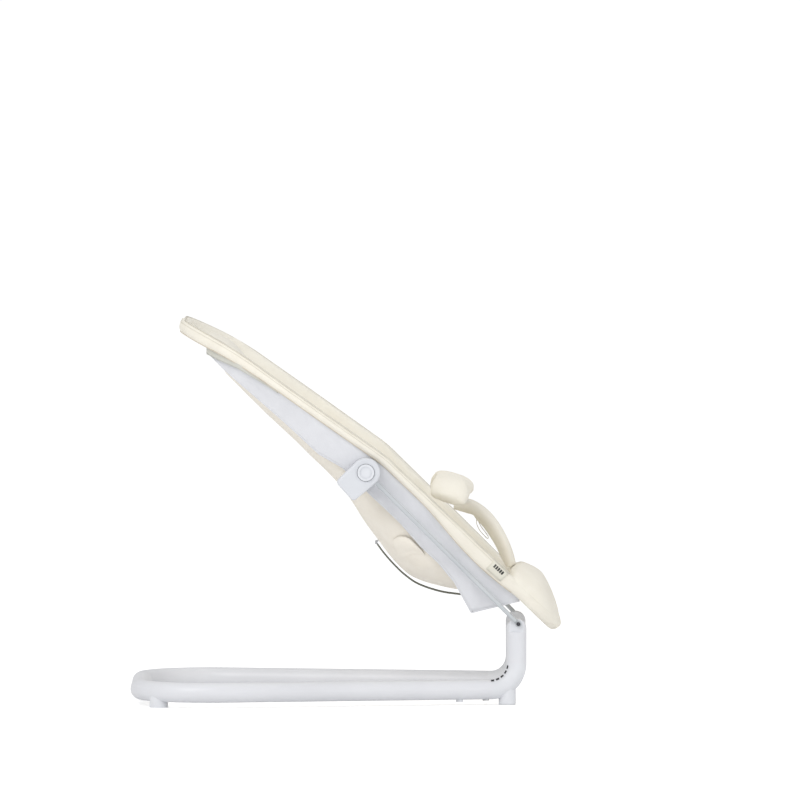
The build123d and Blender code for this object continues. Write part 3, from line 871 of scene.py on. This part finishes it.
def foot_pad():
    """The full bolster over the foot bar, sewn round the rim's casing at both sides."""
    stations = [228, 231, 235, 240, 246, 253, 260, 267, 274, 280, 285, 289, 292, 295, 297.5, 299]
    rows = []
    for x in stations:
        crown = smooth_between(FOOT_CROWN, x, 1, 3)
        reach = rim_reach(x) + 0.4
        base = rim_z(x) - 7.5
        low = []
        high = []
        for j in range(25):
            t = -math.cos(math.pi * j / 24)
            arch = (1 - abs(t) ** 3.4) ** (1 / 3.0) if abs(t) < 1 else 0.0
            low.append(Vector((x, reach * t, base - 1.5)))
            high.append(Vector((x, reach * t, base + (crown - 1.5 - base) * arch)))
        rows.append((low, high))
    piece = pillow_grid("foot_bolster", rows, CREAM)
    inflate(piece, voxel=4.0, cap=3)
    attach(piece, "seat")
    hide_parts("foot_pad")
    return piece


def bent_pad(name, line, widths, thicks, material, across=Vector((0, 1, 0))):
    """A padded strap along a line: a rounded section, wide across and thick between faces."""
    rings = []
    for i, point in enumerate(line):
        ahead = line[min(i + 1, len(line) - 1)]
        behind = line[max(i - 1, 0)]
        along = (ahead - behind).normalized()
        up = along.cross(across).normalized()
        ring = []
        for j in range(24):
            turn = math.tau * j / 24
            c, s = math.cos(turn), math.sin(turn)
            a = math.copysign(abs(c) ** 0.7, c) * widths[i] / 2
            b = math.copysign(abs(s) ** 0.9, s) * thicks[i] / 2
            ring.append(point + across * a + up * b)
        rings.append(ring)
    return capped_sweep(name, rings, material)


def curve_points(knots, count):
    """Evenly spread points on a smooth curve through knots."""
    points = []
    padded = [knots[0] * 2 - knots[1], *knots, knots[-1] * 2 - knots[-2]]
    spans = len(knots) - 1
    for i in range(count):
        place = spans * i / (count - 1)
        k = min(int(place), spans - 1)
        t = place - k
        a, b, c, d = padded[k : k + 4]
        square = (2 * a - 5 * b + 4 * c - d) * t**2
        cube = (3 * b - a - 3 * c + d) * t**3
        points.append(0.5 * (2 * b + (c - a) * t + square + cube))
    return points


def crotch_pad():
    """The stuffed strap that arches up from the foot pad to the buckle."""
    knots = [(232, 188), (225, 211), (213, 235), (198, 256), (181, 270), (166, 275), (151, 271)]
    line = curve_points([Vector((x, 0, z)) for x, z in knots], 32)
    shares = [i / 31 for i in range(32)]
    widths = [46 - 6 * smoothstep(0.5, 1, t) for t in shares]
    thicks = [15 + 3 * smoothstep(0, 0.5, t) - 10 * smoothstep(0.85, 1, t) for t in shares]
    piece = bent_pad("crotch_pad_stuffed", line, widths, thicks, CREAM)
    inflate(piece, voxel=4.0, cap=3)
    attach(piece, "seat")
    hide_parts("crotch_pad")
    return piece


def strap(name, line, width, thick, material, body, node=None, across=Vector((0, 1, 0))):
    """Flat webbing along a line, with softly rounded edges."""
    rings = []
    for i, point in enumerate(line):
        ahead = line[min(i + 1, len(line) - 1)]
        behind = line[max(i - 1, 0)]
        along = (ahead - behind).normalized()
        up = along.cross(across).normalized()
        a, b = width / 2, thick / 2
        inset = a * 0.96
        outline = ((a, 0), (inset, b), (0, b), (-inset, b), (-a, 0), (-inset, -b), (0, -b), (inset, -b))
        rings.append([point + across * u + up * v for u, v in outline])
    piece = capped_sweep(name, rings, material)
    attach(piece, body)
    if node:
        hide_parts(node)
    return piece


def harness_webbing():
    """The crotch webbing, the pull loop and the two short waist tapes."""
    knots = [Vector((186, 0, 268)), Vector((178, 0, 276)), Vector((170, 0, 283))]
    strap("crotch_tape", curve_points(knots, 8), 24, 1.6, WEBBING, "seat", "crotch_strap")
    loop = [(184, 254), (183.5, 249), (188, 239), (195, 231), (199, 227.5)]
    back = [(200, 230), (196, 236), (190, 244), (186, 252)]
    line = curve_points([Vector((x, 0, z)) for x, z in loop + back], 40)
    strap("pull_loop", line, 9, 0.9, WEBBING, "seat", "adjuster_loop")
    for side, sign in SIDES.items():
        knots = [Vector((154, sign * y, z)) for y, z in ((32, 291), (38, 301), (45, 310))]
        tape = f"waist_tape_{side}"
        node = f"waist_strap_{side}"
        line = curve_points(knots, 8)
        strap(tape, line, 20, 1.6, WEBBING, "seat", node, across=Vector((1, 0, 0)))


def waist_pad(side):
    """One soft half of the waist belt, which arches over the occupant's lap."""
    sign = SIDES[side]
    knots = [(153, 19, 300), (153, 40, 306), (150, 62, 304), (146, 81, 296), (141, 92, 285)]
    line = curve_points([Vector((x, sign * y, z)) for x, y, z in knots], 28)
    shares = [i / 27 for i in range(28)]
    widths = [50 + 12 * math.sin(math.pi * t) ** 0.7 for t in shares]
    thicks = [13 + 6 * abs(math.sin(math.tau * t)) ** 0.5 for t in shares]
    across = Vector((0.95, 0, -0.31)).normalized()
    piece = bent_pad(f"waist_belt_{side}", line, widths, thicks, CREAM, across)
    inflate(piece, voxel=4.0, pressure=6.0, cap=6)
    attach(piece, "seat")
    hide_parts(f"waist_pad_{side}")
    return piece


def under_strap():
    """The dark strap that hangs in a curve under the trough."""
    knots = [(43, 222), (54, 207), (69, 190), (84, 176), (103, 163.5), (133, 153.5), (163, 149)]
    line = curve_points([Vector((x, 0, z)) for x, z in knots], 40)
    strap("under_strap_webbing", line, 22, 1.8, DARK_WEBBING, "seat", "under_strap")


def rim_tag():
    """A small plain sewn tag with five woven dashes and a stitched border."""
    patch = rim_patch("tag_patch", 203, 222, (-42, 48), 0.4, 0.7, TAG)
    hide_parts("rim_tag")
    for i in range(5):
        x = 206 + 2.6 * i
        rim_patch(f"tag_dash_{i}", x, x + 1.8, (-8, 22), 1.0, 0.3, TAG_BAR, 3)
    for name, x, turns in (("low", 204, (-38, -35)), ("high", 204, (41, 44))):
        rim_patch(f"tag_stitch_{name}", x, 221, turns, 1.0, 0.25, STITCH)


# ---- stage ----


def paper_floor():
    """A wide sheet of pale paper under the object."""
    mesh = bpy.data.meshes.new("floor")
    size = 60.0
    corners = [(-size, -size, 0), (size, -size, 0), (size, size, 0), (-size, size, 0)]
    mesh.from_pydata(corners, [], [(0, 1, 2, 3)])
    floor = bpy.data.objects.new("floor", mesh)
    bpy.context.scene.collection.objects.link(floor)
    material, tree, shader = node_material("pale_paper", 0.95)
    shader.inputs["Specular IOR Level"].default_value = 0.0
    shader.inputs["Emission Color"].default_value = (1, 1, 1, 1)
    path = tree.nodes.new("ShaderNodeLightPath")
    tone = tree.nodes.new("ShaderNodeMix")
    tone.data_type = "RGBA"
    tone.inputs[6].default_value = (0.97, 0.97, 0.97, 1)
    tone.inputs[7].default_value = (0.95, 0.95, 0.95, 1)
    glow = tree.nodes.new("ShaderNodeMath")
    glow.operation = "MULTIPLY"
    glow.inputs[1].default_value = 0.42
    tree.links.new(path.outputs["Is Camera Ray"], tone.inputs[0])
    tree.links.new(tone.outputs[2], shader.inputs["Base Color"])
    tree.links.new(path.outputs["Is Camera Ray"], glow.inputs[0])
    tree.links.new(glow.outputs["Value"], shader.inputs["Emission Strength"])
    mesh.materials.append(material)


def white_room():
    """White all round for the camera, and a softer light from it on the object."""
    world = bpy.data.worlds.new("studio")
    bpy.context.scene.world = world
    world.use_nodes = True
    tree = world.node_tree
    sky = tree.nodes["Background"]
    sky.inputs["Color"].default_value = (1.0, 1.0, 1.0, 1)
    path = tree.nodes.new("ShaderNodeLightPath")
    level = tree.nodes.new("ShaderNodeMapRange")
    level.inputs["To Min"].default_value = 0.66
    level.inputs["To Max"].default_value = 1.05
    tree.links.new(path.outputs["Is Camera Ray"], level.inputs["Value"])
    tree.links.new(level.outputs["Result"], sky.inputs["Strength"])


def soft_lights():
    """Three large soft lamps: a key at the head end, a fill at the foot end, one above."""
    for name, place, size, power, colour in (
        ("key", (-1.4, -2.4, 2.0), 1.8, 37, (1.0, 0.99, 0.98)),
        ("fill", (2.4, -2.0, 0.7), 2.0, 16, (0.98, 0.99, 1.0)),
        ("top", (0.2, 0.3, 3.2), 2.0, 11, (1.0, 1.0, 1.0)),
    ):
        data = bpy.data.lights.new(name, "AREA")
        data.shape = "DISK"
        data.size = size
        data.energy = power
        data.color = colour
        light = bpy.data.objects.new(name, data)
        light.location = place
        aim = Vector((0.03, 0, 0.28)) - light.location
        light.rotation_euler = aim.to_track_quat("-Z", "Y").to_euler()
        bpy.context.scene.collection.objects.link(light)


def camera():
    """A long lens, square to the side and a little above it."""
    distance = 25.0
    field = 1.12
    data = bpy.data.cameras.new("camera")
    eye = bpy.data.objects.new("camera", data)
    bpy.context.scene.collection.objects.link(eye)
    data.sensor_width = 36
    data.lens = 36 * distance / field
    data.clip_start = 1.0
    data.clip_end = 200.0
    elevation = math.radians(2.53)
    aim = Vector((0.0764, 0, 0.4215))
    back = Vector((0, -math.cos(elevation), math.sin(elevation)))
    eye.location = aim + back * distance
    eye.rotation_euler = (-back).to_track_quat("-Z", "Y").to_euler()
    bpy.context.scene.camera = eye


bpy.context.scene.view_settings.view_transform = "Standard"
paper_floor()
white_room()
soft_lights()
camera()
dress_frame()
rim_cover()
rim_seams()
seat_liner()
seat_sling()
for side in SIDES:
    sling_flap(side)
    side_panel(side)
    shaded_panel_binding(side)
    waist_pad(side)
head_pad()
foot_pad()
crotch_pad()
harness_webbing()
under_strap()
rim_tag()
